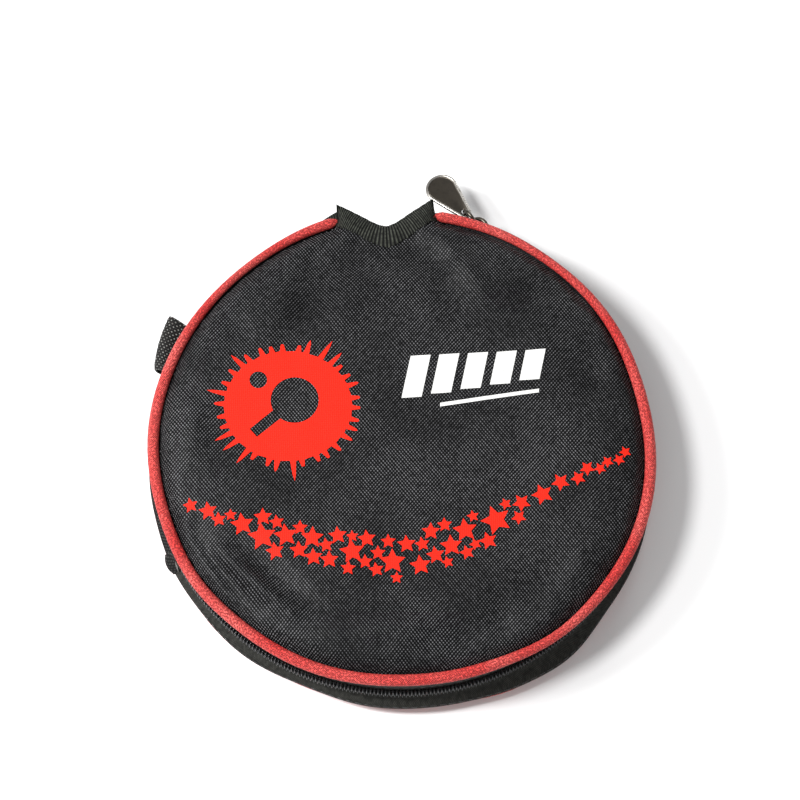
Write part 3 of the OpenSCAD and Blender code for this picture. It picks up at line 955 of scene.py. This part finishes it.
def gusset_end_ribbon():
    """Ribbon folded over the wall's raw end at the notch, which flares outwards near the top."""
    profile = round_band(CASE_R - 1.9, CASE_R + 0.55, WALL_INSET, TOP - WALL_INSET, 0.45, 3, 30)
    angles = np.linspace(NOTCH_LEFT - 0.5, NOTCH_LEFT + 6.0, 26)
    ribs = 0.12 * np.abs(np.sin(np.pi * profile[:, 1] / RIB))
    middle = CASE_R - 0.65
    flare = 4.4 * np.exp(-((profile[:, 1] - 25) / 5.5) ** 2)
    rings = []
    for a in angles:
        end = 1 - 0.35 * smooth((angles[0] + 0.5 - a) / 0.5)
        out = flare * max(0, (NOTCH_LEFT + 6.6 - a) / 6.6) ** 0.7
        radius = middle + (profile[:, 0] - middle) * end + np.sign(profile[:, 0] - middle) * ribs + out
        rings.append(polar(radius, a, profile[:, 1]))
    around = lengths(profile, close=True)
    obj = tube("gusset_end_ribbon", rings, np.radians(angles) * CASE_R, around, RIBBON, 60)
    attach(obj, "back")
    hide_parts("gusset_end_binding")
    return obj


def zip_end_patch():
    """A folded patch of cloth sewn over the zip's closed end."""
    low, high = box_mm("zip_end_tab")
    profile = round_band(0, 1.7, low[2] - 4, high[2] + 3, 0.7, 3, 14)
    angles = np.linspace(HINGE_END - 3.2, HINGE_END + 1.7, 30)
    t = (angles - angles[0]) / (angles[-1] - angles[0])
    rings = []
    for k, a in enumerate(angles):
        fat = 0.25 + 0.75 * math.sin(math.pi * min(max(t[k], 0.05), 0.95)) ** 0.6
        z = MID + (profile[:, 1] - MID) * (0.93 + 0.07 * fat)
        rings.append(polar(CASE_R - 0.2 + profile[:, 0] * fat + wall_bulge(z, a), a, z))
    around = lengths(profile, close=True)
    obj = tube("zip_end_patch", rings, np.radians(angles) * CASE_R, around, GUSSET, 60)
    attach(obj, "back")
    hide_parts("zip_end_tab")
    return obj


LOOP_W = 20
LOOP_SKEW = 2.3


def loop_webbing():
    """Webbing folded in a loop, sewn flat at its root, with a skewed fold."""
    loop_at = joint("loop_flex")[0]
    centre = math.degrees(math.atan2(loop_at[1], loop_at[0]))
    out = max(np.hypot(v.co.x, v.co.y) for v in frame["nodes"]["hang_loop"].data.vertices) / MM
    across = np.linspace(-LOOP_W / 2 + 1.4, LOOP_W / 2, 61)
    bend, thick = 2.4, 0.6
    rings = []
    for t in across:
        reach = out - 0.4 - LOOP_SKEW * t / (LOOP_W / 2) + 0.5 * (1 - (2 * t / LOOP_W) ** 2)
        turn = np.radians(np.linspace(90, -90, 13))
        run = np.linspace(CASE_R + 0.2, reach - bend, 16)[:-1]
        swell = smooth((run - CASE_R) / (reach - bend - CASE_R))
        upper = np.column_stack([run, 0.75 + (bend - 0.75) * swell])
        arc = np.column_stack([reach - bend + bend * np.cos(turn), bend * np.sin(turn)])
        lower = upper[::-1] * [1, -1]
        middle = np.vstack([upper, arc, lower])
        d = np.gradient(middle, axis=0)
        normal = np.column_stack([-d[:, 1], d[:, 0]]) / np.linalg.norm(d, axis=1)[:, None]
        s = lengths(middle)
        knit = 0.13 * np.sin(math.pi * s / WEB_PITCH) * math.sin(math.pi * t / WEB_PITCH)
        edge = 0.55 + 0.45 * smooth((LOOP_W / 2 - abs(t)) / 0.8)
        outer = middle + normal * (thick * edge + knit)[:, None]
        inner = middle - normal * (thick * edge - knit)[:, None]
        ring = np.vstack([outer, inner[::-1]])
        rings.append(polar(ring[:, 0], centre + math.degrees(t / CASE_R), MID - 0.3 + ring[:, 1]))
    rings = np.array(rings)
    sample = rings[len(across) // 2]
    around = lengths(np.column_stack([np.linalg.norm(sample[:, :2], axis=1), sample[:, 2]]), close=True)
    obj = tube("loop_webbing", rings, across, around, WEBBING, 60)
    way = np.array([loop_at[0], loop_at[1], 0]) / np.hypot(loop_at[0], loop_at[1])
    start, end = way * (CASE_R + 0.2), way * (CASE_R + 3.5)
    start[2] = end[2] = MID
    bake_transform(obj)
    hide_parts("hang_loop")
    return obj


# ---- pull ----

TAB_DROOP = 10
TAB_END_R, TAB_ROOT_R, TAB_HOLE_R = 6.0, 2.5, 1.4
TAB_NEAR, TAB_LEN, TAB_T = 3.2, 13.5, 1.5
TAB_POINTS = 72


def teardrop(inset):
    """The tab's outline, moved inwards. It lies along X, with the joint at the origin."""
    far = TAB_NEAR + TAB_LEN
    big, small = TAB_END_R - inset, max(TAB_ROOT_R - inset, 0.3)
    lean = math.asin((big - small) / TAB_LEN)
    angles = np.linspace(-math.pi / 2 - lean, math.pi / 2 + lean, TAB_POINTS * 2 // 3)
    end = np.column_stack([far + big * np.cos(angles), big * np.sin(angles)])
    angles = np.linspace(math.pi / 2 + lean, 3 * math.pi / 2 - lean, TAB_POINTS // 3)
    root = np.column_stack([TAB_NEAR + small * np.cos(angles), small * np.sin(angles)])
    return np.vstack([end, root])


def tab_piece():
    """The zip's pull: a teardrop plate with a rounded rim of the brighter nickel round a sunken face of the
    darker copy, whose darkness is a painted dark reflection.
    """
    place, axis = joint("tab_swing")
    direction = math.atan2(axis[0], -axis[1])
    half = TAB_T / 2
    # distance in from the edge, and height as a share of half the thickness
    rim = [(0, 0), (0.02, 0.45), (0.16, 0.8), (0.45, 1), (0.8, 0.92), (1.02, 0.6), (1.15, 0.42), (1.5, 0.36)]
    upper = [np.column_stack([teardrop(inset), np.full(TAB_POINTS, half * z)]) for inset, z in rim]
    spot = np.array([TAB_NEAR, 0])
    way = teardrop(1.5) - spot
    way /= np.linalg.norm(way, axis=1)[:, None]
    for radius, z in ((TAB_HOLE_R + 0.35, 0.5), (TAB_HOLE_R, 0.25)):
        upper.append(np.column_stack([spot + way * radius, np.full(TAB_POINTS, half * z)]))
    lower = [u * [1, 1, -1] for u in upper[1:]][::-1]
    rings = np.array(upper + lower)
    # the tab droops from the joint and points along the joint's axis turned by a quarter
    tilt = math.radians(TAB_DROOP)
    x, y, z = rings[..., 0], rings[..., 1], rings[..., 2]
    x, z = x * math.cos(tilt) + z * math.sin(tilt), -x * math.sin(tilt) + z * math.cos(tilt)
    cosine, sine = math.cos(direction), math.sin(direction)
    x, y = x * cosine - y * sine, x * sine + y * cosine
    rings = np.stack([x, y, z], -1) + place
    along = np.arange(len(rings) + 1) * 0.5
    around = lengths(rings[0], close=True)
    obj = tube("tab_plate", rings, along, around, [BRIGHT_METAL, SHADED_NICKEL], 45, closed=True)
    # the sunken faces take the darker nickel: painted dark reflection
    sunk = len(rim) - 3
    for polygon in obj.data.polygons:
        rows = [v // TAB_POINTS for v in polygon.vertices]
        top_side = min(rows) >= sunk and max(rows) <= len(rings) - sunk
        if top_side:
            polygon.material_index = 1
    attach(obj, "tab")
    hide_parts("pull_tab")
    return obj


# ---- prints ----

PRINT_TURN = -5.5
PRINT_LIFT = 0.12
PRINT_EDGE, PRINT_STEP = 1.1, 1.8
BURST_SIZE = (25.5, 23.2)
BURST_SPIKES = 34
BURST_AT = (-39.5, 14.5)


def divided(loop, step):
    """The loop with points added, so that no side is longer than step."""
    out = []
    for a, b in zip(loop, np.roll(loop, -1, axis=0)):
        count = max(1, math.ceil(np.linalg.norm(b - a) / step))
        out.append(a + (b - a) * np.arange(count)[:, None] / count)
    return np.vstack(out)


def laid(name, loops_list, height, material):
    """Thin printed shapes laid on the front. Each entry is a list of closed loops, the holes among them."""
    points, faces, first = [], [], 0
    for loops in loops_list:
        flat, triangles = filled([divided(loop, PRINT_EDGE) for loop in loops], PRINT_STEP)
        z = np.array([height(x, y, 1) for x, y in flat])
        n = len(flat)
        points += [np.column_stack([flat, z + PRINT_LIFT]), np.column_stack([flat, z - 0.05])]
        faces += [tuple(t + first) for t in triangles] + [tuple(t[::-1] + first + n) for t in triangles]
        used = {}
        for t in triangles:
            for a, b in ((t[0], t[1]), (t[1], t[2]), (t[2], t[0])):
                used[(a, b)] = used.get((a, b), 0) + 1
        for a, b in used:
            if (b, a) not in used:
                faces.append((a + first, b + first, b + first + n, a + first + n))
        first += 2 * n
    points = np.vstack(points)
    corners = np.vstack([points[list(f), :2] for f in faces])
    obj = make(name, points, faces, corners, material, 60)
    bend_with_flap(obj)
    return obj


def turned(points, degrees, centre):
    a = math.radians(degrees)
    x, y = np.asarray(points, float).T
    return np.column_stack([x * math.cos(a) - y * math.sin(a), x * math.sin(a) + y * math.cos(a)]) + centre


def circle(radius, centre):
    a = np.linspace(0, 2 * math.pi, 28, endpoint=False)
    return np.column_stack([radius * np.cos(a), radius * np.sin(a)]) + centre


def bat(blade, handle):
    """A bat's outline: a round blade with a handle that points down."""
    half = math.asin(0.24)
    a = np.linspace(-math.pi / 2 + half, 1.5 * math.pi - half, 44)
    grip = [(-0.23 * blade, -blade - handle), (0.23 * blade, -blade - handle)]
    return np.vstack([np.column_stack([blade * np.cos(a), blade * np.sin(a)]), grip])


def badge():
    """A round ragged burst with a bat and a ball left out of it."""
    rng = np.random.default_rng(6)
    half = 0.16 * 2 * math.pi / BURST_SPIKES
    burst = []
    for k in range(BURST_SPIKES):
        a = 2 * math.pi * (k + rng.uniform(-0.2, 0.2)) / BURST_SPIKES
        reach = 1.0 + 0.24 * rng.uniform() ** 3
        shoulder = 0.5 + 0.5 * reach
        for turn, out in ((-1.6, 0.89), (-0.7, shoulder), (0, reach), (0.7, shoulder), (1.6, 0.9)):
            way = a + turn * half
            burst.append((BURST_SIZE[0] * out * math.cos(way), BURST_SIZE[1] * out * math.sin(way)))
    at = np.array(BURST_AT)
    outline = turned(burst, PRINT_TURN, at)
    paddle = turned(bat(8.6, 10.5), PRINT_TURN - 48, at + [2.5, 2.0])
    ball = turned(circle(3.2, (-11, 9.5)), PRINT_TURN, at)
    return [[outline, paddle, ball]]


def bars():
    """Five slanted bars that shrink to the right, over a thin stripe."""
    shapes = []
    for k in range(5):
        x, wide, tall = 1.0 + 10.6 * k, 7.2, 15.5 - 1.1 * k
        low = 15.0 + 0.9 * k
        slant, high = 0.28 * tall, low + tall
        bar = [(x, low), (x + wide, low), (x + wide + slant, high), (x + slant, high)]
        shapes.append([np.array(bar)])
    stripe = np.array([(14.5, 10.9), (50, 13.6), (50.2, 15.0), (14.7, 12.3)])
    shapes.append([stripe])
    return shapes


def star(radius, centre, turn):
    a = np.radians(90 + np.arange(10) * 36 + turn)
    reach = np.where(np.arange(10) % 2 == 0, radius, radius * 0.48)
    return np.column_stack([reach * np.cos(a), reach * np.sin(a)]) + centre


# the middle line of the band of stars
BAND = np.array([(-84, -17.5), (-64, -26), (-38, -37), (-6, -45), (25, -37), (54, -21.5), (80, -11)], float)
STAR_REACH = 82.5


def star_band():
    """A wave of stars across the panel: single and small at its ends, three deep and larger between them."""
    rng = np.random.default_rng(23)
    along = lengths(BAND)
    placed, shapes = [], []
    sizes = [5.6, 5.2, 4.8, 4.6, 4.5, 4.4, 4.3, 4.2, 4.1, 4.0, 3.9] + [3.4] * 14 + [2.8] * 18 + [2.3] * 14
    for size in sizes:
        for _ in range(260):
            t = rng.uniform(0, 1)
            body = smooth(t / 0.24) * smooth((1 - t) / 0.4)
            if size > 2.5 + 4.0 * body:
                continue
            s = t * along[-1]
            offset = rng.uniform(-1, 1) * max(1.2, 9.5 * body - size)
            x, y = np.interp(s, along, BAND[:, 0]), np.interp(s, along, BAND[:, 1]) + offset
            if math.hypot(x, y) > STAR_REACH - size:
                continue
            if any(math.hypot(x - px, y - py) < 0.79 * (size + ps) for px, py, ps in placed):
                continue
            placed.append((x, y, size))
            turn = rng.uniform(-9, 9) + 26 * smooth((x - 5) / 30)
            shapes.append([star(size, (x, y), turn)])
            break
    return shapes


# ---- the scene ----

def floor():
    mesh = bpy.data.meshes.new("floor")
    half = 4
    corners = [(-half, -half, 0), (half, -half, 0), (half, half, 0), (-half, half, 0)]
    mesh.from_pydata(corners, [], [(0, 1, 2, 3)])
    obj = bpy.data.objects.new("floor", mesh)
    bpy.context.scene.collection.objects.link(obj)
    obj.location.z = -0.0002
    mesh.materials.append(floor_paint())


def area_light(name, place, size, power):
    """A white disk light that looks at the origin."""
    light = bpy.data.lights.new(name, "AREA")
    light.shape = "DISK"
    light.size = size
    light.energy = power
    obj = bpy.data.objects.new(name, light)
    obj.location = place
    obj.rotation_mode = "QUATERNION"
    obj.rotation_quaternion = (-Vector(place)).to_track_quat("-Z", "Y")
    bpy.context.scene.collection.objects.link(obj)


def lights():
    area_light("key", (-1.35, 0.15, 1.25), 0.6, 31)
    area_light("gloss", (-0.62, -0.05, 1.35), 0.3, 15)
    area_light("front", (-0.3, -1.5, 1.1), 0.9, 3.5)
    area_light("back", (0.5, 1.4, 0.8), 0.5, 4)
    world = bpy.data.worlds.new("studio")
    bpy.context.scene.world = world
    world.use_nodes = True
    background = world.node_tree.nodes["Background"]
    background.inputs["Color"].default_value = (1, 1, 1, 1)
    background.inputs["Strength"].default_value = 0.44
    bpy.context.scene.view_settings.view_transform = "Standard"


# the camera: what it looks at and its distance in millimetres, its angles in degrees
CAMERA_AIM = (0.8, 20.4, 16)
CAMERA_AZIMUTH, CAMERA_HEIGHT, CAMERA_ROLL = -93.3, 70.5, -0.5
CAMERA_FAR, CAMERA_LENS = 1300, 161.8


def camera():
    """A long lens that looks down steeply from the front."""
    data = bpy.data.cameras.new("camera")
    data.lens = CAMERA_LENS
    data.sensor_width = 36
    data.clip_start, data.clip_end = 0.05, 20
    obj = bpy.data.objects.new("camera", data)
    aim = Vector(CAMERA_AIM) * MM
    a, e = math.radians(CAMERA_AZIMUTH), math.radians(CAMERA_HEIGHT)
    back = Vector((math.cos(a) * math.cos(e), math.sin(a) * math.cos(e), math.sin(e)))
    obj.location = aim + back * CAMERA_FAR * MM
    obj.rotation_mode = "QUATERNION"
    turn = (-back).to_track_quat("-Z", "Y")
    obj.rotation_quaternion = turn @ Quaternion((0, 0, 1), math.radians(CAMERA_ROLL))
    bpy.context.scene.collection.objects.link(obj)
    bpy.context.scene.camera = obj


def metal_nodes():
    """The CAD nodes whose shape is right keep it, with new metal. The slider, link and bottom stop take a
    darker nickel as painted shade; the top stops take the brighter one.
    """
    dark = ("slider_body", "pull_link", "zip_bottom_stop")
    bright = ("back_top_stop", "front_top_stop")
    for name in dark + bright:
        mesh = frame["nodes"][name].data
        mesh.materials.clear()
        mesh.materials.append(SHADED_NICKEL if name in dark else BRIGHT_METAL)


camera()
lights()
floor()
metal_nodes()

front = front_pad()
back = back_pad()
front_top = top_of(front)
back_top = top_of(back)

rim = piping("piping_front", TOP - PIPING_INSET, FRONT_OUT, 11)
bend_with_flap(rim)
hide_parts("front_piping_cover", "front_piping_core", "hinge_piping_cover", "hinge_piping_core")
rim = piping("piping_back", PIPING_INSET - 0.2, BACK_OUT, 12)
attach(rim, "back")
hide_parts("back_piping_cover", "back_piping_core")

tape = seam_tape("seam_tape_front", 1, 31)
bend_with_flap(tape)
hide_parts("front_seam_binding", "hinge_seam_binding")
tape = seam_tape("seam_tape_back", -1, 32)
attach(tape, "back")
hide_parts("back_seam_binding")

tape = zip_tape("zip_tape_front", 1)
bend_with_flap(tape, WALL_DEPTH)
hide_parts("front_zip_tape", "hinge_zip_tape")
tape = zip_tape("zip_tape_back", -1)
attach(tape, "back")
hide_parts("back_zip_tape")

row = coil("coil_front", 1, 0.0)
bend_with_flap(row, WALL_DEPTH)
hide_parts("front_zip_coil")
row = coil("coil_back", -1, 0.5)
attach(row, "back")
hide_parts("back_zip_coil")

rows = stitches("stitches_front", 1)
bend_with_flap(rows, WALL_DEPTH)
rows = stitches("stitches_back", -1)
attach(rows, "back")

ribbon = notch_ribbon("ribbon_front", front_top, 1)
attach(ribbon, "flap")
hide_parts("front_notch_binding")
ribbon = notch_ribbon("ribbon_back", back_top, -1)
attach(ribbon, "back")
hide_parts("back_notch_binding")

gusset_wall()
gusset_end_ribbon()
zip_end_patch()
loop_webbing()
tab_piece()

laid("print_badge", badge(), front_top, PRINT_RED)
laid("print_bars", bars(), front_top, PRINT_WHITE)
laid("print_stars", star_band(), front_top, PRINT_RED)
